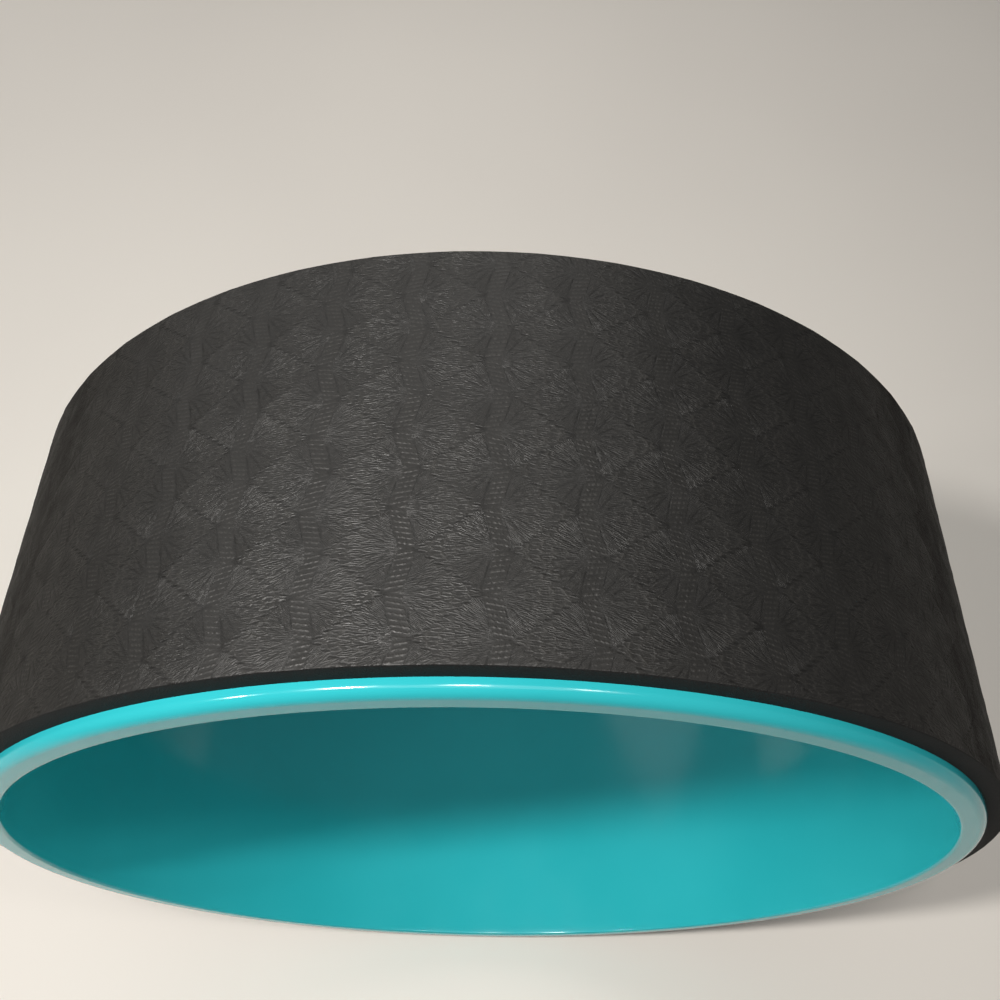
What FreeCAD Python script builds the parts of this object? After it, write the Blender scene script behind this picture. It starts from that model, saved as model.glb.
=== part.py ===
import FreeCAD, Part
import math
import os
import Sketcher

# Yoga wheel: a rigid plastic hoop with a foam tread pad bonded round it.
# Millimetres. The origin is the wheel's centre, Y is its axis and Z is up.
# The wheel stands on its tread at the bottom, and its open ends face -Y and +Y.

doc = FreeCAD.newDocument("yoga_wheel")

# Driving dimensions: name, value, meaning
DIMENSIONS = [
    ("hoop_outer_diameter", 315.0, "outside of the bare hoop"),
    ("hoop_wall", 7.7, "thickness of the hoop"),
    ("hoop_width", 123.0, "hoop from end face to end face"),
    ("lip_outer_round", 3.0, "rounding of the hoop's outer corners"),
    ("lip_inner_round", 0.9, "rounding of the hoop's inner corners"),
    ("lip_reveal", 4.0, "how far the hoop stands out of the pad at each end"),
    ("film_thickness", 0.2, "bonding layer between hoop and pad"),
    ("film_inset", 2.0, "how far the bonding layer stops short of the pad's edges"),
    ("film_clearance", 0.2, "room on each side of the bonding layer"),
    ("pad_thickness", 5.6, "foam of the tread pad"),
    ("pad_edge_round", 0.4, "softened outer edges of the foam"),
    ("seam_gap", 0.4, "gap of the butt seam where the strip's ends meet"),
    ("seam_angle", 40.0, "seam's place, in degrees below the horizontal on the +X side"),
    ("contact_depth", 0.15, "how far the foam gives under the wheel's own weight"),
]

# Sizes that follow from the driving ones: name, formula
DERIVED = [
    ("hoop_outer_radius", "=hoop_outer_diameter / 2"),
    ("hoop_inner_radius", "=hoop_outer_radius - hoop_wall"),
    ("lip_inner_fillet", "=min(lip_inner_round; hoop_wall / 4)"),
    ("lip_outer_fillet", "=min(lip_outer_round; (hoop_wall - lip_inner_fillet) / 2)"),
    ("pad_width", "=hoop_width - 2 * lip_reveal"),
    ("film_width", "=pad_width - 2 * film_inset"),
    ("film_inner_radius", "=hoop_outer_radius + film_clearance"),
    ("film_outer_radius", "=film_inner_radius + film_thickness"),
    ("pad_inner_radius", "=film_outer_radius + film_clearance"),
    ("tread_radius", "=pad_inner_radius + pad_thickness"),
    ("pad_fillet", "=min(pad_edge_round; pad_thickness / 2)"),
    ("strip_turn", "=360 - seam_gap / tread_radius * 180 / pi"),
    ("contact_height", "=tread_radius - contact_depth"),
]

sheet = doc.addObject("Spreadsheet::Sheet", "sheet")
for row, (alias, value, meaning) in enumerate(DIMENSIONS, 1):
    sheet.set(f"A{row}", meaning)
    sheet.set(f"B{row}", str(value))
    sheet.setAlias(f"B{row}", alias)
doc.recompute()
for row, (alias, formula) in enumerate(DERIVED, len(DIMENSIONS) + 1):
    sheet.set(f"B{row}", formula)
    sheet.setAlias(f"B{row}", alias)
    doc.recompute()


def new_body(label):
    """An empty body whose label names the sub-part, placed at the wheel's centre."""
    body = doc.addObject("PartDesign::Body", label)
    body.Label = label
    body.Placement = FreeCAD.Placement()
    return body


def level_sketch(body, name):
    """A sketch on the body's own XY plane: level, with the wheel's axis as its upright axis."""
    sketch = body.newObject("Sketcher::SketchObject", f"{body.Label}_{name}")
    planes = [plane for plane in body.Origin.OriginFeatures if plane.Role == "XY_Plane"]
    sketch.AttachmentSupport = [(planes[0], "")]
    sketch.MapMode = "FlatFace"
    return sketch


def bind(sketch, alias, *constraint):
    """Adds a distance whose value is a cell of the sheet."""
    index = sketch.addConstraint(Sketcher.Constraint(*constraint, sheet.get(alias)))
    sketch.setExpression(f"Constraints[{index}]", f"sheet.{alias}")


def rectangle(sketch, left, right, height):
    """Four lines that run round a rectangle: bottom, right, top, left. The X axis halves its right side."""
    corners = [(left, -height / 2), (right, -height / 2), (right, height / 2), (left, height / 2)]
    points = [FreeCAD.Vector(x, y, 0) for x, y in corners]
    for start, end in zip(points, points[1:] + points[:1]):
        sketch.addGeometry(Part.LineSegment(start, end))
    for side in range(4):
        sketch.addConstraint(Sketcher.Constraint("Coincident", side, 2, (side + 1) % 4, 1))
    sketch.addConstraint(Sketcher.Constraint("Horizontal", 0))
    sketch.addConstraint(Sketcher.Constraint("Horizontal", 2))
    sketch.addConstraint(Sketcher.Constraint("Vertical", 3))
    sketch.addConstraint(Sketcher.Constraint("Symmetric", 1, 1, 1, 2, -1))


def ring_section(body, inner_radius, outer_radius, width):
    """The section of a ring: a rectangle between two radii."""
    sketch = level_sketch(body, "section")
    rectangle(sketch, sheet.get(inner_radius), sheet.get(outer_radius), sheet.get(width))
    bind(sketch, inner_radius, "DistanceX", -1, 1, 0, 1)
    bind(sketch, outer_radius, "DistanceX", -1, 1, 0, 2)
    bind(sketch, width, "DistanceY", 1, 1, 1, 2)
    return sketch


def turned(body, sketch):
    """The section turned all the way round the wheel's axis."""
    feature = body.newObject("PartDesign::Revolution", f"{body.Label}_turned")
    feature.Profile = sketch
    feature.ReferenceAxis = (sketch, ["V_Axis"])
    doc.recompute()
    return feature


def rounded(body, base, pick, fillet):
    """Rounds a ring's outermost or innermost edges: pick is max or min of their radii."""
    radii = {}
    for number, edge in enumerate(base.Shape.Edges, 1):
        if isinstance(edge.Curve, Part.Circle):
            radii[f"Edge{number}"] = edge.Curve.Radius
    wanted = pick(radii.values())
    names = [name for name, radius in radii.items() if math.isclose(radius, wanted)]
    feature = body.newObject("PartDesign::Fillet", f"{body.Label}_{fillet}")
    feature.Base = (base, names)
    feature.setExpression("Radius", f"sheet.{fillet}")
    doc.recompute()
    return feature


# Hoop: one moulded tube with well rounded outer corners and lightly rounded inner ones
hoop = new_body("hoop")
hoop_tube = turned(hoop, ring_section(hoop, "hoop_inner_radius", "hoop_outer_radius", "hoop_width"))
hoop_bored = rounded(hoop, hoop_tube, min, "lip_inner_fillet")
rounded(hoop, hoop_bored, max, "lip_outer_fillet")

# Bonding film: a thin layer on the hoop's outside, hidden under the pad
film = new_body("adhesive_film")
turned(film, ring_section(film, "film_inner_radius", "film_outer_radius", "film_width"))

# Tread pad: a foam strip bent round the film, whose cut ends face each other across the seam
pad = new_body("tread_pad")
strip_section = ring_section(pad, "pad_inner_radius", "tread_radius", "pad_width")
seam_turn = FreeCAD.Rotation(FreeCAD.Vector(0, 1, 0), sheet.get("seam_angle"))
strip_section.AttachmentOffset = FreeCAD.Placement(FreeCAD.Vector(), seam_turn)
strip_section.setExpression("AttachmentOffset.Rotation.Angle", "sheet.seam_angle")
strip = turned(pad, strip_section)
strip.setExpression("Angle", "sheet.strip_turn")
doc.recompute()
strip_soft = rounded(pad, strip, max, "pad_fillet")

# Contact flat: the foam under the wheel is pressed level where it stands
flat_sketch = level_sketch(pad, "contact")
flat_sketch.setExpression("AttachmentOffset.Base.z", "-sheet.contact_height")
rectangle(flat_sketch, -sheet.get("tread_radius"), sheet.get("tread_radius"), sheet.get("hoop_width"))
bind(flat_sketch, "tread_radius", "DistanceX", 0, 1, -1, 1)
bind(flat_sketch, "tread_radius", "DistanceX", -1, 1, 0, 2)
bind(flat_sketch, "hoop_width", "DistanceY", 1, 1, 1, 2)
doc.recompute()
flat = pad.newObject("PartDesign::Pocket", "tread_pad_flat")
flat.Profile = flat_sketch
flat.Type = "ThroughAll"
doc.recompute()
pressed = strip_soft.Shape.Volume - flat.Shape.Volume
if pressed <= 0:
    raise ValueError("the contact flat cuts nothing")

# Every feature and every sub-part is sound before anything is written
for item in doc.Objects:
    if "Invalid" in item.State or "Error" in item.State:
        raise ValueError(f"{item.Label} failed: {item.State}")
sub_parts = [hoop, film, pad]
for body in sub_parts:
    if body.Shape.isNull() or not body.Shape.isValid():
        raise ValueError(f"{body.Label} has no sound shape")

os.makedirs("parts", exist_ok=True)
for body in sub_parts:
    body.Shape.exportStep(f"parts/{body.Label}.step")
    box = body.Shape.optimalBoundingBox(False)
    print(f"{body.Label}: {len(body.Shape.Solids)} solid, {body.Shape.Volume / 1000:.1f} cm3, "
          f"{box.XLength:.2f} x {box.YLength:.2f} x {box.ZLength:.2f} mm")
print(f"contact flat takes {pressed:.1f} mm3")
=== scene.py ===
# %% [markdown]
# # A yoga wheel
# A yoga wheel is one stiff plastic hoop with a strip of embossed foam bonded round its outside.
# The CAD model gives the true sizes and the place of every piece. It is loaded first and never moved, so
# whatever is modelled here is drawn in the same frame, in metres, with the wheel's centre at the origin.

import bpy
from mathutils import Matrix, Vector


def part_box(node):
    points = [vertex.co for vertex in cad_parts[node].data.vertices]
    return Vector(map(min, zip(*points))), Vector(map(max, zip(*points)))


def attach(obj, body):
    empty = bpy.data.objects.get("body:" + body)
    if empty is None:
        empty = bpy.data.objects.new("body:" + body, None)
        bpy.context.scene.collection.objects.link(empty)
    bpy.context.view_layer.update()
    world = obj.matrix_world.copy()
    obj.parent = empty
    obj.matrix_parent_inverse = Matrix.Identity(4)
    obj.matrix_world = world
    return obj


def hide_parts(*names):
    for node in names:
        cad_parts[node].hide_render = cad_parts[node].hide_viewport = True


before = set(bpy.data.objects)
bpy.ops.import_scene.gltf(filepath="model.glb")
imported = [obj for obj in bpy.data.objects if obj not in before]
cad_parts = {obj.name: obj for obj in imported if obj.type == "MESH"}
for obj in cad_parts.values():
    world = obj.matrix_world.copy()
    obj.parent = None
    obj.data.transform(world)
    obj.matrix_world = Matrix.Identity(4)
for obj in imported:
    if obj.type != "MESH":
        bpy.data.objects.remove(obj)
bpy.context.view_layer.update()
print("nodes:", sorted(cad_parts))

# %% Tools of this lesson
import math

import bmesh
import bpy
import numpy as np
from mathutils import Euler, Matrix, Vector

MM = 0.001
# Two places closer than a hair count as the same
HAIR = 0.01 * MM
scene = bpy.context.scene

# %% [markdown]
# ## Sizes from the frame
# The boxes of the CAD nodes give most sizes: half of a ring's box is its radius. Only the sizes that a box
# can't show, such as a wall or a rounding, are written down here, as they are on the real wheel.

# %% Measure the CAD nodes
hoop_low, hoop_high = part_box("hoop")
film_low, film_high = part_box("adhesive_film")
pad_low, pad_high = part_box("tread_pad")

HOOP_RADIUS = hoop_high.x
HOOP_HALF_WIDTH = hoop_high.y
HOOP_WALL = 7.7 * MM
FILM_RADIUS = film_high.x
FILM_HALF_WIDTH = film_high.y
TREAD_RADIUS = -pad_low.x
PAD_HALF_WIDTH = pad_high.y
FLOOR_HEIGHT = pad_low.z
print(f"hoop {HOOP_RADIUS:.4f} m, film {FILM_RADIUS:.4f} m, tread {TREAD_RADIUS:.4f} m in radius")

# %% [markdown]
# ## The camera
# The photograph was taken close up, from above and in front of one open end, with the camera tipped well
# down. A camera is a place, a lens and three turns: yaw to the side, pitch down, and roll about its own view.
# Blender's camera looks along its own -Z, so an X turn of a quarter circle makes it look level, along +Y.

# %% Place the camera
PHOTO_PIXELS = 1000
FOCAL_PIXELS = 1007.3
CAMERA_PLACE = Vector((2.4, -135.0, 352.4)) * MM
CAMERA_YAW = math.radians(0.53)
CAMERA_PITCH = math.radians(58.33)
CAMERA_ROLL = math.radians(1.53)
NEAREST_SEEN = 10 * MM

camera_data = bpy.data.cameras.new("photo_camera")
camera_data.lens = camera_data.sensor_width * FOCAL_PIXELS / PHOTO_PIXELS
camera_data.clip_start = NEAREST_SEEN
camera = bpy.data.objects.new("photo_camera", camera_data)
scene.collection.objects.link(camera)
aim = Euler((math.pi / 2 - CAMERA_PITCH, 0, -CAMERA_YAW)).to_matrix()
turn = aim @ Matrix.Rotation(CAMERA_ROLL, 3, "Z")
camera.matrix_world = Matrix.Translation(CAMERA_PLACE) @ turn.to_4x4()
scene.camera = camera
print(f"camera lens {camera_data.lens:.1f} mm")

# %% [markdown]
# ## Helpers for meshes and materials
# Every piece is drawn in a bmesh and turned into an object once. Every finish is a small tree of nodes, so a
# few helpers keep both short: one makes the object, the others add nodes and join their inputs.

# %% Helper: a bmesh becomes an object
def make_object(name, sketch):
    """A new object at the origin that shows the bmesh, which is freed."""
    mesh = bpy.data.meshes.new(name)
    sketch.to_mesh(mesh)
    sketch.free()
    made = bpy.data.objects.new(name, mesh)
    scene.collection.objects.link(made)
    return made


# %% Helpers: nodes
def new_finish(name):
    """A material with nodes, and its main shader."""
    finish = bpy.data.materials.new(name)
    finish.use_nodes = True
    return finish, finish.node_tree.nodes["Principled BSDF"]


def add(tree, kind, inputs=None, **settings):
    """A node of that kind. Each input is a plain value or the output of another node."""
    made = tree.nodes.new(kind)
    for name, value in settings.items():
        setattr(made, name, value)
    for key, value in (inputs or {}).items():
        if isinstance(value, bpy.types.NodeSocket):
            tree.links.new(value, made.inputs[key])
        else:
            made.inputs[key].default_value = value
    return made


def calc(tree, operation, *terms):
    """The output of one Math node."""
    return add(tree, "ShaderNodeMath", dict(enumerate(terms)), operation=operation).outputs[0]


def spread(tree, value, low, high, to_low, to_high):
    """The value moved from one range to another, and kept inside it."""
    inputs = {0: value, 1: low, 2: high, 3: to_low, 4: to_high}
    return add(tree, "ShaderNodeMapRange", inputs).outputs[0]


def blend_colours(tree, share, first, second):
    """A colour between two, by share."""
    inputs = {0: share, 6: (*first, 1.0), 7: (*second, 1.0)}
    return add(tree, "ShaderNodeMix", inputs, data_type="RGBA").outputs[2]


# %% Helpers: random patches
FULL_RANGE = (0.0, 1.0)
# Nearly all of a noise lies between these two values
NOISE_RANGE = (0.3, 0.7)


def noise(tree, place, scale, detail=2.0):
    """Soft random grey, with patches about 1 / scale metres across."""
    inputs = {"Vector": place, "Scale": scale, "Detail": detail}
    return add(tree, "ShaderNodeTexNoise", inputs).outputs["Fac"]


def patches(tree, place, scale, noise_range, value_range, detail=2.0):
    """A value that wanders between two limits from place to place."""
    return spread(tree, noise(tree, place, scale, detail), *noise_range, *value_range)


# %% [markdown]
# ## The floor and the light
# The wheel stands on a pale floor in a pale room. A row of four small bulbs hangs above it and a little in
# front. The second from the left is the main light: it throws the shadow's edge inside the hoop, and the
# glossy lip shows each bulb as a bright spot. A wide, weak ceiling lamp fills the floor and draws the thin
# streak that joins those spots. Two soft lamps behind the wheel stand for the bright wall there, which gives
# the foam its grey sheen. A picture of a real room could light the wheel as well, but a few lamps need no
# file, and each can be set on its own.
#
# A weak pale world does the rest, so that no side of the wheel is left in the dark. As a backdrop it is
# brighter: the rays that the camera sees directly or in a gloss finish meet a paler grey than the rays that
# light the wheel.

# %% Floor
FLOOR_SIZE = 6.0
FLOOR_CELLS = 8
FLOOR_CLOUD_SCALE = 3.0
FLOOR_SHADE = (0.84, 0.80, 0.745)
FLOOR_TINT = (0.88, 0.84, 0.78)
FLOOR_ROUGHNESS = 0.55

floor_sketch = bmesh.new()
bmesh.ops.create_grid(floor_sketch, x_segments=FLOOR_CELLS, y_segments=FLOOR_CELLS, size=FLOOR_SIZE / 2)
bmesh.ops.translate(floor_sketch, verts=floor_sketch.verts, vec=(0, 0, FLOOR_HEIGHT))
floor = make_object("floor", floor_sketch)

floor_finish, floor_shader = new_finish("pale_floor")
floor_tree = floor_finish.node_tree
floor_place = add(floor_tree, "ShaderNodeTexCoord").outputs["Object"]
floor_cloud = patches(floor_tree, floor_place, FLOOR_CLOUD_SCALE, NOISE_RANGE, FULL_RANGE)
floor_colour = blend_colours(floor_tree, floor_cloud, FLOOR_SHADE, FLOOR_TINT)
floor_tree.links.new(floor_colour, floor_shader.inputs["Base Color"])
floor_shader.inputs["Roughness"].default_value = FLOOR_ROUGHNESS
floor.data.materials.append(floor_finish)
print(f"floor at {floor.data.vertices[0].co.z:.4f} m")

# %% World
WORLD_COLOUR = (0.93, 0.95, 1.0, 1.0)
WORLD_LIGHT = 0.055
BACKDROP_LIGHT = 0.15

world = bpy.data.worlds.new("pale_room")
world.use_nodes = True
scene.world = world
world_shader = world.node_tree.nodes["Background"]
world_shader.inputs["Color"].default_value = WORLD_COLOUR
rays = add(world.node_tree, "ShaderNodeLightPath").outputs
seen = calc(world.node_tree, "MAXIMUM", rays["Is Camera Ray"], rays["Is Glossy Ray"])
seen = calc(world.node_tree, "MAXIMUM", seen, rays["Is Transmission Ray"])
strength = spread(world.node_tree, seen, *FULL_RANGE, WORLD_LIGHT, BACKDROP_LIGHT)
world.node_tree.links.new(strength, world_shader.inputs["Strength"])
print(f"world light {WORLD_LIGHT}, {BACKDROP_LIGHT} as a backdrop")

# %% Bulbs and the soft lamps
# Place in metres and power in watts
BULBS = [
    ((-0.62, -0.20, 0.60), 1.1),
    ((-0.305, -0.165, 0.67), 3.2),
    ((-0.04, -0.155, 0.72), 1.0),
    ((0.225, -0.14, 0.67), 0.30),
]
BULB_SIZE = 60 * MM
# Place, width and depth in metres, and power in watts
SOFT_LAMPS = [
    ((0.15, -0.60, 2.20), 2.2, 1.0, 9.0),
    ((-0.02, 0.95, 0.75), 0.9, 0.9, 2.6),
    ((-0.90, 0.85, 0.50), 1.1, 1.1, 2.2),
]
LAMP_COLOUR = (1.0, 0.97, 0.93)


def add_lamp(name, place, width, depth, power):
    """An oval lamp that faces the wheel and lights it without being seen itself."""
    data = bpy.data.lights.new(name, "AREA")
    data.shape = "ELLIPSE"
    data.size = width
    data.size_y = depth
    data.energy = power
    data.color = LAMP_COLOUR
    lamp = bpy.data.objects.new(name, data)
    scene.collection.objects.link(lamp)
    lamp.location = place
    lamp.rotation_euler = (-Vector(place)).to_track_quat("-Z", "Y").to_euler()
    lamp.visible_camera = False
    return lamp


for number, (place, power) in enumerate(BULBS, 1):
    add_lamp(f"bulb_{number}", place, BULB_SIZE, BULB_SIZE, power)
for number, (place, width, depth, power) in enumerate(SOFT_LAMPS, 1):
    add_lamp(f"soft_lamp_{number}", place, width, depth, power)
scene.view_settings.view_transform = "Standard"
print(f"{len(BULBS)} bulbs and {len(SOFT_LAMPS)} soft lamps")

# %% [markdown]
# ## The hoop
# The hoop is a tube of gloss plastic with well rounded outer corners and a small round inside. A lathe makes
# such a shape: draw the wall's section once and spin it round the axle. Then the four corner circles are
# bevelled, the outer two with a large radius. That keeps the corners true arcs, which a gloss finish needs,
# because every flat in a rounding shows up in its highlight. Smooth shading blends the light between
# neighbouring faces, so the section has extra points close to its corners: between them the wall stays
# straight.

# %% Spin the hoop
HOOP_STEPS = 720
LIP_OUTER_ROUND = 3.0 * MM
LIP_INNER_ROUND = 0.9 * MM
SUPPORT_GAP = 1.0 * MM
WELD_GAP = 0.001 * MM

hoop_sketch = bmesh.new()
bore_radius = HOOP_RADIUS - HOOP_WALL
straight = HOOP_HALF_WIDTH - LIP_OUTER_ROUND - SUPPORT_GAP
stations = (HOOP_HALF_WIDTH, straight, -straight, -HOOP_HALF_WIDTH)
section = [(bore_radius, along) for along in stations]
section += [(HOOP_RADIUS, -along) for along in stations]
corners = [hoop_sketch.verts.new((radius, along, 0)) for radius, along in section]
sides = [hoop_sketch.edges.new((start, end)) for start, end in zip(corners, corners[1:] + corners[:1])]
bmesh.ops.spin(
    hoop_sketch, geom=corners + sides, cent=(0, 0, 0), axis=(0, 1, 0), angle=2 * math.pi,
    steps=HOOP_STEPS, use_merge=True,
)
bmesh.ops.remove_doubles(hoop_sketch, verts=hoop_sketch.verts, dist=WELD_GAP)
bmesh.ops.recalc_face_normals(hoop_sketch, faces=hoop_sketch.faces)
print(f"tube: {len(hoop_sketch.faces)} faces with sharp corners")

# %% Bevel the hoop's corners
LIP_OUTER_ARCS = 12
LIP_INNER_ARCS = 5
ROUND_PROFILE = 0.5
# A face whose normal points this much along the axle belongs to a flat end
FLAT_END = 0.999


def corner_circles(sketch, radius):
    """The edges that run round the hoop's two ends at that radius."""
    found = []
    for edge in sketch.edges:
        at_end = all(abs(vert.co.y) > HOOP_HALF_WIDTH - HAIR for vert in edge.verts)
        at_radius = all(abs(vert.co.xz.length - radius) < HAIR for vert in edge.verts)
        if at_end and at_radius:
            found.append(edge)
    return found


for radius, rounding, arcs in [
    (HOOP_RADIUS, LIP_OUTER_ROUND, LIP_OUTER_ARCS),
    (bore_radius, LIP_INNER_ROUND, LIP_INNER_ARCS),
]:
    bmesh.ops.bevel(
        hoop_sketch, geom=corner_circles(hoop_sketch, radius), offset=rounding, offset_type="OFFSET",
        affect="EDGES", segments=arcs, profile=ROUND_PROFILE, material=-1,
    )
for face in hoop_sketch.faces:
    face.smooth = abs(face.normal.y) < FLAT_END
hoop = make_object("hoop_gloss_tube", hoop_sketch)
print(f"hoop: {len(hoop.data.polygons)} faces")

# %% [markdown]
# Moulded gloss plastic isn't perfectly even. Its colour drifts a little, its surface has a faint orange peel,
# long waves left by cooling run along the tube, and handling leaves patches that are slightly duller. One
# plain colour and gloss would look drawn, so a noise of its own size makes each of these.

# %% Gloss teal plastic
TEAL_DEEP = (0.024, 0.440, 0.490)
TEAL_LIGHT = (0.032, 0.475, 0.530)
DRIFT_SCALE = 14.0
RUBBED_SCALE = 55.0
RUBBED_NOISE = (0.35, 0.7)
GLOSS_ROUGHNESS = (0.11, 0.17)
WAVE_SCALE = 28.0
WAVE_STRETCH = (1.0, 0.08, 1.0)
WAVE_HEIGHT = 0.12
PEEL_SCALE = 420.0
PEEL_HEIGHT = 0.004
PLASTIC_IOR = 1.5


def gloss_plastic():
    """Teal plastic with orange peel, cooling waves and faint rubbed patches."""
    finish, shader = new_finish("teal_gloss_plastic")
    tree = finish.node_tree
    place = add(tree, "ShaderNodeTexCoord").outputs["Object"]
    drift = patches(tree, place, DRIFT_SCALE, NOISE_RANGE, FULL_RANGE, detail=3.0)
    tree.links.new(blend_colours(tree, drift, TEAL_DEEP, TEAL_LIGHT), shader.inputs["Base Color"])
    rubbed = patches(tree, place, RUBBED_SCALE, RUBBED_NOISE, GLOSS_ROUGHNESS, detail=6.0)
    tree.links.new(rubbed, shader.inputs["Roughness"])
    stretch = add(tree, "ShaderNodeMapping", {"Vector": place, "Scale": WAVE_STRETCH})
    waves = noise(tree, stretch.outputs[0], WAVE_SCALE, detail=1.0)
    peel = noise(tree, place, PEEL_SCALE, detail=1.0)
    height = calc(tree, "MULTIPLY_ADD", waves, WAVE_HEIGHT, calc(tree, "MULTIPLY", peel, PEEL_HEIGHT))
    bump = add(tree, "ShaderNodeBump", {"Strength": 1.0, "Distance": MM, "Height": height})
    tree.links.new(bump.outputs[0], shader.inputs["Normal"])
    shader.inputs["IOR"].default_value = PLASTIC_IOR
    return finish


hoop.data.materials.append(gloss_plastic())
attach(hoop, "root")
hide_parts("hoop")
print(f"hoop finish: {len(hoop.data.materials[0].node_tree.nodes)} nodes")

# %% [markdown]
# ## The bonding film
# Between hoop and pad lies a thin milky layer of double-sided adhesive. It could be spun like the hoop, but
# the pad hides it, so the CAD ring keeps its shape and only gets a finish: cloudy, a little yellow, and
# uneven where it was pressed down.

# %% Milky adhesive
ADHESIVE_SHADE = (0.66, 0.64, 0.55)
ADHESIVE_TINT = (0.78, 0.76, 0.69)
ADHESIVE_SCALE = 90.0
ADHESIVE_NOISE = (0.35, 0.65)
ADHESIVE_ROUGHNESS = (0.35, 0.6)
BUBBLE_SCALE = 400.0
BUBBLE_HEIGHT = 0.1 * MM
BUBBLE_STRENGTH = 0.5


def milky_adhesive():
    """Cloudy adhesive with small trapped bubbles."""
    finish, shader = new_finish("milky_adhesive")
    tree = finish.node_tree
    place = add(tree, "ShaderNodeTexCoord").outputs["Object"]
    cloud = patches(tree, place, ADHESIVE_SCALE, ADHESIVE_NOISE, FULL_RANGE, detail=4.0)
    tree.links.new(blend_colours(tree, cloud, ADHESIVE_SHADE, ADHESIVE_TINT), shader.inputs["Base Color"])
    roughness = spread(tree, cloud, *FULL_RANGE, *ADHESIVE_ROUGHNESS)
    tree.links.new(roughness, shader.inputs["Roughness"])
    bubbles = add(tree, "ShaderNodeTexVoronoi", {"Vector": place, "Scale": BUBBLE_SCALE}).outputs["Distance"]
    inputs = {"Strength": BUBBLE_STRENGTH, "Distance": BUBBLE_HEIGHT, "Height": bubbles}
    bump = add(tree, "ShaderNodeBump", inputs)
    tree.links.new(bump.outputs[0], shader.inputs["Normal"])
    return finish


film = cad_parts["adhesive_film"]
film.data.materials.clear()
film.data.materials.append(milky_adhesive())
print(f"film finish: {len(film.data.materials[0].node_tree.nodes)} nodes")

# %% [markdown]
# ## The tread pad
# The real pad starts as a flat foam sheet. A heated roller embosses it with a field of fan-shaped leaves.
# Then it is cut to a strip and wrapped once round the hoop, so its two ends meet in a butt seam. Doing the
# same here is the simplest way: make a flat grid, give it its cut sides, press the leaves and wrap it.
# The flat sheet also gives the pad its UV map, which the finish uses to draw the finer veins.

# %% Sizes of the strip
SEAM_GAP = 0.4 * MM
# Angles count from straight up towards +X, so the seam lies below the level line on that side
SEAM_BELOW_LEVEL = 40
SEAM_ANGLE = math.radians(90 + SEAM_BELOW_LEVEL)
STRIP_LENGTH = 2 * math.pi * TREAD_RADIUS - SEAM_GAP
STRIP_STEP = 0.6 * MM
EDGE_ROUND = 0.4 * MM
EDGE_ARCS = 3
# The skin ends where the rounded edge turns down, and below that the foam is cut
SKIN_DROP = 0.3 * EDGE_ROUND
FILM_ROOM = 0.1 * MM
HOOP_ROOM = 0.1 * MM
print(f"strip {STRIP_LENGTH:.4f} m long and {2 * PAD_HALF_WIDTH:.4f} m wide")

# %% Flat sheet with cut sides
def runs_along(edge):
    """True if the edge follows the strip's length."""
    return abs(edge.verts[0].co.y - edge.verts[1].co.y) < HAIR


def pull_edges(sketch, edges, inset, depth):
    """Extrudes the strip's two long edges to that inset from the sides and depth below the tread."""
    pulled = bmesh.ops.extrude_edge_only(sketch, edges=edges)["geom"]
    for item in pulled:
        if isinstance(item, bmesh.types.BMVert):
            item.co.y = math.copysign(PAD_HALF_WIDTH - inset, item.co.y)
            item.co.z = -depth
    made = [item for item in pulled if isinstance(item, bmesh.types.BMEdge)]
    return [edge for edge in made if edge.is_boundary and runs_along(edge)]


# The grid is one metre square at first and then scaled to the strip
strip_sketch = bmesh.new()
steps_along = round(STRIP_LENGTH / STRIP_STEP)
steps_across = round(2 * PAD_HALF_WIDTH / STRIP_STEP)
bmesh.ops.create_grid(strip_sketch, x_segments=steps_along, y_segments=steps_across, size=0.5)
bmesh.ops.scale(strip_sketch, verts=strip_sketch.verts, vec=(STRIP_LENGTH, 2 * PAD_HALF_WIDTH, 1))
long_edges = [edge for edge in strip_sketch.edges if edge.is_boundary and runs_along(edge)]

# Past the film's edge the foam settles down to the hoop, and over the film it lies on the film
margin = PAD_HALF_WIDTH - FILM_HALF_WIDTH - FILM_ROOM
hoop_depth = TREAD_RADIUS - HOOP_RADIUS - HOOP_ROOM
film_depth = TREAD_RADIUS - FILM_RADIUS - FILM_ROOM
rim = long_edges
for inset, depth in [(0, hoop_depth), (margin, hoop_depth), (margin + FILM_ROOM, film_depth)]:
    rim = pull_edges(strip_sketch, rim, inset, depth)
print(f"sheet: {steps_along} x {steps_across} steps, {len(rim)} edges to bridge")

# %% Close the strip and round its outer edges
CUT_FOAM = 1

bmesh.ops.bridge_loops(strip_sketch, edges=rim)
skin_edges = [edge for edge in long_edges if edge.is_valid]
bmesh.ops.bevel(
    strip_sketch, geom=skin_edges, offset=EDGE_ROUND, offset_type="OFFSET", affect="EDGES",
    segments=EDGE_ARCS, profile=ROUND_PROFILE, material=-1,
)
open_edges = [edge for edge in strip_sketch.edges if edge.is_boundary]
bmesh.ops.holes_fill(strip_sketch, edges=open_edges, sides=0)
bmesh.ops.recalc_face_normals(strip_sketch, faces=strip_sketch.faces)
for face in strip_sketch.faces:
    face.smooth = True
    if min(vert.co.z for vert in face.verts) < -SKIN_DROP:
        face.material_index = CUT_FOAM
still_open = sum(edge.is_boundary for edge in strip_sketch.edges)
pad = make_object("tread_pad_foam", strip_sketch)
print(f"strip: {len(pad.data.polygons)} faces, {still_open} open edges")

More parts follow.
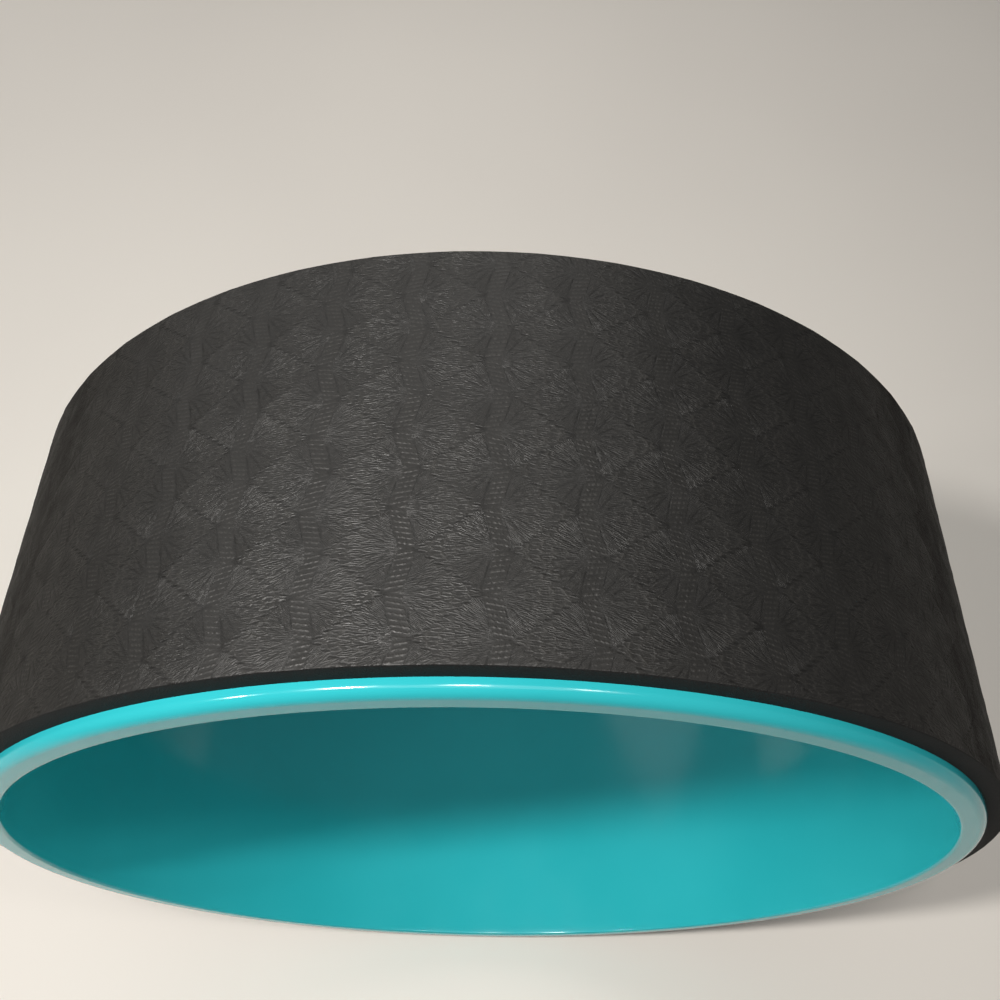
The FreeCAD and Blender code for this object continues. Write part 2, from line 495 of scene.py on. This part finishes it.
# %% [markdown]
# The embossed leaves lie in rows along the strip. In one row they all point one way, in the next row the
# other way, so the tips of each row reach in between the feet of its neighbours, and the rims of two rows
# meet in a zigzag. Behind each foot a narrow slanted field of cross bars is left over. Each leaf is a little
# raised towards its rim, and a dimple marks its tip. All of it is shallow: a finger feels it more than the
# eye sees it. The leaves could be modelled one by one, but a formula for the height at any place presses all
# of them at once, and the finish can follow the same formula.
#
# Two rows are mirror images, so one band between the middles of two rows is enough: a point's band gives its
# height, and its place in the band tells whether it lies on the lower leaf, the upper leaf or the bars.

# %% Where the leaves lie
LEAF_PITCH = 20.85 * MM
ROW_HEIGHT = 10.45 * MM
LEAF_LENGTH = 16.8 * MM
LEAF_LEAN = 2.75 * MM
FIRST_LEAF = (146.3 * MM, 0.35 * MM)
ROW_SLANT = 0.018
FOOT_SLANT = 0.012
MIRROR_SHIFT = LEAF_PITCH - LEAF_LENGTH - LEAF_LEAN


def read_points(mesh):
    """The places of a mesh's points, one row each."""
    places = np.empty(3 * len(mesh.vertices), np.float32)
    mesh.vertices.foreach_get("co", places)
    return places.reshape(-1, 3).astype(float)


def leaf_grid(flat):
    """Places on the flat sheet, counted in leaves along a row and in rows across the strip."""
    along = flat[:, 0] - FIRST_LEAF[0]
    across = flat[:, 1] - FIRST_LEAF[1]
    return (along + FOOT_SLANT * across) / LEAF_PITCH, (across + ROW_SLANT * along) / ROW_HEIGHT


flat = read_points(pad.data)
leaves, rows = leaf_grid(flat)
print(f"{np.ptp(leaves):.1f} leaves along the strip, {2 * PAD_HALF_WIDTH / ROW_HEIGHT:.1f} rows across it")

# %% How far the leaves stand up
RIM_RISE = 0.13 * MM
RIM_FALL = 1.6 * MM
BARS_DROP = 0.02 * MM
DIMPLE_DEPTH = 0.07 * MM
DIMPLE_REACH = 1.0 * MM


def leaf_relief(leaves, rows):
    """How far the pressed leaves stand up, in metres."""
    band = np.floor(rows)
    height = rows - band
    odd = band % 2
    place = leaves * (1 - 2 * odd) * LEAF_PITCH - odd * MIRROR_SHIFT
    run = (place - LEAF_LEAN * height) % LEAF_PITCH
    past_rim = run - LEAF_LENGTH * (1 - height)
    from_rim = np.abs(past_rim) * ROW_HEIGHT / math.hypot(ROW_HEIGHT, LEAF_LENGTH - LEAF_LEAN)
    bars = np.clip((run - LEAF_LENGTH) / STRIP_STEP, 0, 1) * np.clip((LEAF_PITCH - run) / STRIP_STEP, 0, 1)
    rim = np.exp(-from_rim / RIM_FALL) * (1 - bars)
    dimples = 0
    for tip, tip_height in [(LEAF_LENGTH, 0), (0, 1), (LEAF_PITCH, 1)]:
        off_run = run - tip + LEAF_LEAN * (height - tip_height)
        off_height = (height - tip_height) * ROW_HEIGHT
        dimples = dimples + np.exp(-(off_run**2 + off_height**2) / DIMPLE_REACH**2)
    return RIM_RISE * rim - BARS_DROP * bars - DIMPLE_DEPTH * dimples


relief = leaf_relief(leaves, rows)
print(f"relief from {relief.min() / MM:.2f} to {relief.max() / MM:.2f} mm")

# %% Press the leaves and wrap the strip round the hoop
SHARP_ANGLE = math.radians(50)

on_skin = np.clip(1 + flat[:, 2] / EDGE_ROUND, 0, 1)
depth = flat[:, 2] + on_skin * (relief - relief.max())
angle = SEAM_ANGLE + math.pi + flat[:, 0] / TREAD_RADIUS
radius = TREAD_RADIUS + depth
wrapped = np.stack([radius * np.sin(angle), flat[:, 1], radius * np.cos(angle)], axis=1)
# The foam under the wheel is pressed level by the floor
wrapped[:, 2] = np.maximum(wrapped[:, 2], FLOOR_HEIGHT)
pad.data.vertices.foreach_set("co", wrapped.astype(np.float32).ravel())

corner_points = np.empty(len(pad.data.loops), np.int32)
pad.data.loops.foreach_get("vertex_index", corner_points)
leaf_map = np.stack([leaves, rows], axis=1)[corner_points]
pad.data.uv_layers.new(name="leaf_places").uv.foreach_set("vector", leaf_map.astype(np.float32).ravel())
pad.data.set_sharp_from_angle(angle=SHARP_ANGLE)
pad.data.update()
print(f"tread radius {radius.max():.5f} m")

# %% [markdown]
# The skin of the foam is matt and nearly black. Each leaf is a fan: grooves run out from its foot like the
# ribs of a palm leaf, a fine net of veins fills the room between them, and a chain of small pits follows its
# rim. These lines are a few tenths of a millimetre wide, too fine for the mesh, so the finish draws them as
# bump, from the same leaf grid, which it reads from the UV map. A Voronoi texture is a good net: its cells
# look grown. Sizes in these nodes are in millimetres.

# %% Places inside a leaf, in nodes
PITCH_MM = LEAF_PITCH / MM
ROW_MM = ROW_HEIGHT / MM
LENGTH_MM = LEAF_LENGTH / MM
LEAN_MM = LEAF_LEAN / MM


def band_nodes(tree):
    """A point's run along its band in mm, and its height in the band from 0 to 1."""
    leaves = add(tree, "ShaderNodeUVMap", uv_map="leaf_places").outputs[0]
    split = add(tree, "ShaderNodeSeparateXYZ", {0: leaves})
    height = calc(tree, "FRACT", split.outputs[1])
    half_band = calc(tree, "MULTIPLY", calc(tree, "FLOOR", split.outputs[1]), 0.5)
    odd = calc(tree, "MULTIPLY", calc(tree, "FRACT", half_band), 2.0)
    place = calc(tree, "MULTIPLY", split.outputs[0], calc(tree, "MULTIPLY_ADD", odd, -2.0, 1.0))
    place = calc(tree, "MULTIPLY_ADD", odd, -MIRROR_SHIFT / LEAF_PITCH, place)
    place = calc(tree, "MULTIPLY_ADD", height, -LEAF_LEAN / LEAF_PITCH, place)
    return calc(tree, "MULTIPLY", calc(tree, "FRACT", place), PITCH_MM), height


def swap(tree, value, whole, swapped):
    """The value, or whole minus the value where swapped is 1."""
    rest = calc(tree, "MULTIPLY_ADD", value, -2.0, whole)
    return calc(tree, "MULTIPLY_ADD", rest, swapped, value)


def from_middle(tree, value):
    """A value from 0 to 1, counted from its middle."""
    return calc(tree, "SUBTRACT", value, 0.5)


def hill(tree, value, width):
    """A smooth hill of height 1 where value is near 0."""
    off = calc(tree, "DIVIDE", value, width)
    return calc(tree, "EXPONENT", calc(tree, "MULTIPLY", calc(tree, "MULTIPLY", off, off), -1.0))


def length(tree, first, second):
    """Length of the slanted side of a right-angled triangle."""
    squares = calc(tree, "MULTIPLY_ADD", first, first, calc(tree, "MULTIPLY", second, second))
    return calc(tree, "SQRT", squares)


# %% Fan ribs and the net between them
RIB_STEP = math.radians(21)
RIB_WIDTH = 0.28
RIB_START = (2.0, 4.0)
RIB_END = (6.0, 10.0)
NET_LENGTH = 2.8
NET_WIDTH = 0.85
NET_LINE = 0.28
NET_FAN = 0.3
NET_LEAN = 0.5
NET_SWAY_SCALE = 400.0
NET_START = (2.0, 7.0)
NET_AT_FOOT = 0.5


def rib_nodes(tree, out, side):
    """Depths of a leaf's ribs, from 0 to 1, which fade out near its foot and its rim."""
    radius = length(tree, out, side)
    turn = calc(tree, "FRACT", calc(tree, "DIVIDE", calc(tree, "ARCTAN2", side, out), RIB_STEP))
    off_turn = calc(tree, "MULTIPLY", from_middle(tree, turn), RIB_STEP)
    ribs = hill(tree, calc(tree, "MULTIPLY", off_turn, radius), RIB_WIDTH)
    ribs = calc(tree, "MULTIPLY", ribs, spread(tree, radius, *RIB_START, 0.0, 1.0))
    return calc(tree, "MULTIPLY", ribs, spread(tree, radius, *RIB_END, 1.0, 0.0))


def net_nodes(tree, place, out, side):
    """Heights of a leaf's net, from 0 to 1, whose cells fan out from its foot."""
    fan = calc(tree, "DIVIDE", side, calc(tree, "MULTIPLY_ADD", out, 1.0 / LENGTH_MM, NET_FAN))
    sway = from_middle(tree, noise(tree, place, NET_SWAY_SCALE))
    net_out = calc(tree, "DIVIDE", calc(tree, "MULTIPLY_ADD", fan, NET_LEAN, out), NET_LENGTH)
    net_side = calc(tree, "DIVIDE", calc(tree, "ADD", fan, sway), NET_WIDTH)
    net_place = add(tree, "ShaderNodeCombineXYZ", {0: net_out, 1: net_side}).outputs[0]
    inputs = {"Vector": net_place, "Scale": 1.0, "Randomness": 1.0}
    net = add(tree, "ShaderNodeTexVoronoi", inputs, voronoi_dimensions="2D", feature="DISTANCE_TO_EDGE")
    lines = spread(tree, net.outputs["Distance"], 0.0, NET_LINE, 1.0, 0.0)
    return calc(tree, "MULTIPLY", lines, spread(tree, out, *NET_START, NET_AT_FOOT, 1.0))


def fan_nodes(tree, place, run, height):
    """A leaf's ribs and its net, drawn from its own foot."""
    swapped = calc(tree, "GREATER_THAN", run, calc(tree, "MULTIPLY_ADD", height, -LENGTH_MM, LENGTH_MM))
    own_height = swap(tree, height, 1.0, swapped)
    out = calc(tree, "MULTIPLY_ADD", own_height, LEAN_MM, swap(tree, run, LENGTH_MM, swapped))
    side = calc(tree, "MULTIPLY", own_height, ROW_MM)
    return rib_nodes(tree, out, side), net_nodes(tree, place, out, side)


# %% Cross bars, the chain of pits and the pits at the tips
BAR_STEP = 1.35
BAR_TILT = 0.18
BAR_WIDTH = 0.2
DOT_STEP = 1.1
DOT_LOW = 0.45
PITS_PER_RIM = 7
RIM_LENGTH = math.hypot(ROW_MM, LENGTH_MM - LEAN_MM)
PIT_STEP = RIM_LENGTH / PITS_PER_RIM
PIT_EDGE = (0.25, 0.7)
TIP_EDGE = (0.54, 1.26)
TIP_SHARE = 0.5


def bar_nodes(tree, run, height):
    """Heights of the cross bars behind a leaf's foot, from 0 to 1, broken into dots."""
    raised = calc(tree, "MULTIPLY_ADD", run, -BAR_TILT, calc(tree, "MULTIPLY", height, ROW_MM))
    off_bar = from_middle(tree, calc(tree, "FRACT", calc(tree, "DIVIDE", raised, BAR_STEP)))
    wave = calc(tree, "SINE", calc(tree, "MULTIPLY", run, 2 * math.pi / DOT_STEP))
    dots = spread(tree, wave, -1.0, 1.0, DOT_LOW, 1.0)
    return calc(tree, "MULTIPLY", hill(tree, off_bar, BAR_WIDTH), dots)


def pit_nodes(tree, run, height):
    """1 inside the pits along the rims, less at the tips, 0 outside."""
    past_rim = calc(tree, "ADD", run, calc(tree, "MULTIPLY_ADD", height, LENGTH_MM, -LENGTH_MM))
    off_rim = calc(tree, "MULTIPLY", past_rim, ROW_MM / RIM_LENGTH)
    in_chain = from_middle(tree, calc(tree, "FRACT", calc(tree, "MULTIPLY", height, PITS_PER_RIM)))
    off_pit = length(tree, off_rim, calc(tree, "MULTIPLY", in_chain, PIT_STEP))
    pits = spread(tree, off_pit, *PIT_EDGE, 1.0, 0.0)
    for tip, tip_height in [(LENGTH_MM, 0.0), (0.0, 1.0), (PITCH_MM, 1.0)]:
        lift = calc(tree, "SUBTRACT", height, tip_height)
        off_run = calc(tree, "MULTIPLY_ADD", lift, LEAN_MM, calc(tree, "SUBTRACT", run, tip))
        off_tip = length(tree, off_run, calc(tree, "MULTIPLY", lift, ROW_MM))
        pits = calc(tree, "MAXIMUM", pits, spread(tree, off_tip, *TIP_EDGE, TIP_SHARE, 0.0))
    return pits


# %% All lines of the emboss together
NET_RISE = 0.11
RIB_DEPTH = 0.06
RIB_SHADE = 0.5
BAR_RISE = 0.12
BAR_BED = 0.015
BARS_SWAY = 2.0
BARS_SWAY_SCALE = 300.0
BARS_EDGE = 0.4
PIT_DEPTH = 0.11
# Wear: the scale of its noise, the noise's range, and the share of a line that is left
FINE_WEAR = (900.0, (0.38, 0.58), (0.35, 1.0))
PIT_WEAR = (160.0, (0.4, 0.6), (0.45, 1.0))
BROAD_WEAR = (120.0, (0.35, 0.65), (0.8, 1.15))


def leaf_veins(tree, place):
    """Height of the fine lines in mm, and how much of a point lies in a hollow."""
    run, height = band_nodes(tree)
    ribs, net = fan_nodes(tree, place, run, height)
    sway = from_middle(tree, noise(tree, place, BARS_SWAY_SCALE))
    swayed = calc(tree, "MULTIPLY_ADD", sway, BARS_SWAY, run)
    in_bars = spread(tree, swayed, LENGTH_MM, LENGTH_MM + BARS_EDGE, 0.0, 1.0)
    ribs = calc(tree, "MULTIPLY", ribs, calc(tree, "SUBTRACT", 1.0, in_bars))
    fan = calc(tree, "MULTIPLY", net, NET_RISE)
    bars = calc(tree, "MULTIPLY_ADD", bar_nodes(tree, run, height), BAR_RISE, BAR_BED)
    lines = add(tree, "ShaderNodeMix", {0: in_bars, 2: fan, 3: bars}, data_type="FLOAT").outputs[0]
    lines = calc(tree, "MULTIPLY", lines, patches(tree, place, *FINE_WEAR))
    lines = calc(tree, "MULTIPLY_ADD", ribs, -RIB_DEPTH, lines)
    pits = calc(tree, "MULTIPLY", pit_nodes(tree, run, height), patches(tree, place, *PIT_WEAR))
    lines = calc(tree, "MULTIPLY", lines, calc(tree, "SUBTRACT", 1.0, pits))
    lines = calc(tree, "MULTIPLY_ADD", pits, -PIT_DEPTH, lines)
    hollows = calc(tree, "MAXIMUM", pits, calc(tree, "MULTIPLY", ribs, RIB_SHADE))
    return calc(tree, "MULTIPLY", lines, patches(tree, place, *BROAD_WEAR)), hollows


# %% Embossed foam skin
FOAM_BLACK = (0.005, 0.0048, 0.0043)
FOAM_GREY = (0.027, 0.0256, 0.023)
GRAIN_SCALE = 2600.0
GRAIN_RISE = 0.06
# Painted glints: how much the fine grain paints pale specks into the colour
PAINTED_GRAIN_GLINT = 0.5
CLOUD_SCALE = 30.0
CLOUD_PALENESS = (-0.05, 0.05)
# Painted glints: the raised lines are painted paler. Painted shade: the pits and rib grooves are painted a
# little darker
PAINTED_LINE_GLINT = 5.0
PAINTED_HOLLOW_SHADE = 0.01
MOTTLE_SCALE = 150.0
SKIN_ROUGHNESS = (0.41, 0.55)
# The sheen falls off as the skin turns away from the eye, and in hollows
SHEEN_TURN = (0.25, 0.78)
SHEEN_LEVEL = (0.52, 0.015)
HOLLOW_SHEEN = 0.62
PLAIN_SHEEN = 0.4


def foam_skin():
    """Matt black foam skin with veined leaves, with painted glints on its raised lines and specks and painted
    shade in its pits.
    """
    finish, shader = new_finish("embossed_foam_skin")
    tree = finish.node_tree
    place = add(tree, "ShaderNodeTexCoord").outputs["Object"]
    veins, hollows = leaf_veins(tree, place)
    grain = noise(tree, place, GRAIN_SCALE, detail=3.0)
    height = calc(tree, "MULTIPLY_ADD", grain, GRAIN_RISE, veins)
    bump = add(tree, "ShaderNodeBump", {"Strength": 1.0, "Distance": MM, "Height": height})
    tree.links.new(bump.outputs[0], shader.inputs["Normal"])
    cloud = patches(tree, place, CLOUD_SCALE, NOISE_RANGE, CLOUD_PALENESS, detail=5.0)
    # Painted glints: pale specks from the grain, added to a random cloudy tone
    painted_specks_and_cloud = calc(tree, "MULTIPLY_ADD", grain, PAINTED_GRAIN_GLINT, cloud)
    # Painted glints and painted shade: paler colour on the raised lines, slightly darker colour in the pits
    # and grooves
    raised = calc(tree, "MAXIMUM", veins, -PAINTED_HOLLOW_SHADE)
    shade = calc(tree, "MULTIPLY_ADD", raised, PAINTED_LINE_GLINT, painted_specks_and_cloud)
    tree.links.new(blend_colours(tree, shade, FOAM_BLACK, FOAM_GREY), shader.inputs["Base Color"])
    mottle = patches(tree, place, MOTTLE_SCALE, NOISE_RANGE, SKIN_ROUGHNESS, detail=4.0)
    tree.links.new(mottle, shader.inputs["Roughness"])
    facing = add(tree, "ShaderNodeLayerWeight", {"Blend": 0.5}).outputs["Facing"]
    sheen = spread(tree, facing, *SHEEN_TURN, *SHEEN_LEVEL)
    sheen = calc(tree, "MULTIPLY", sheen, spread(tree, hollows, *FULL_RANGE, 1.0, HOLLOW_SHEEN))
    shader.inputs["Specular IOR Level"].default_value = PLAIN_SHEEN
    tree.links.new(sheen, shader.inputs["Specular IOR Level"])
    return finish


# %% [markdown]
# The cut sides of the foam show its inside: tiny closed cells that were sliced open, blacker than the skin
# because light gets lost in them. Real holes would take millions of faces, so a Voronoi bump stands for them.

# %% Cut foam
CUT_BLACK = (0.003, 0.003, 0.003)
CUT_GREY = (0.010, 0.010, 0.010)
CELL_SCALE = 2600.0
CELL_DEPTH = 0.12 * MM
CELL_SHADE = (0.3, 1.0)
RAGGED_SCALE = 900.0
RAGGED_SHARE = 0.6
CUT_ROUGHNESS = 0.85
CUT_SHEEN = 0.3


def cut_foam():
    """Cells of sliced foam."""
    finish, shader = new_finish("cut_foam")
    tree = finish.node_tree
    place = add(tree, "ShaderNodeTexCoord").outputs["Object"]
    cells = add(tree, "ShaderNodeTexVoronoi", {"Vector": place, "Scale": CELL_SCALE}).outputs["Distance"]
    ragged = noise(tree, place, RAGGED_SCALE, detail=4.0)
    pits = calc(tree, "MULTIPLY_ADD", ragged, RAGGED_SHARE, cells)
    bump = add(tree, "ShaderNodeBump", {"Strength": 1.0, "Distance": CELL_DEPTH, "Height": pits})
    tree.links.new(bump.outputs[0], shader.inputs["Normal"])
    shade = spread(tree, pits, *CELL_SHADE, *FULL_RANGE)
    tree.links.new(blend_colours(tree, shade, CUT_BLACK, CUT_GREY), shader.inputs["Base Color"])
    shader.inputs["Roughness"].default_value = CUT_ROUGHNESS
    shader.inputs["Specular IOR Level"].default_value = CUT_SHEEN
    return finish


pad.data.materials.append(foam_skin())
pad.data.materials.append(cut_foam())
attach(pad, "root")
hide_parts("tread_pad")
for finish in pad.data.materials:
    print(f"pad finish {finish.name}: {len(finish.node_tree.nodes)} nodes")
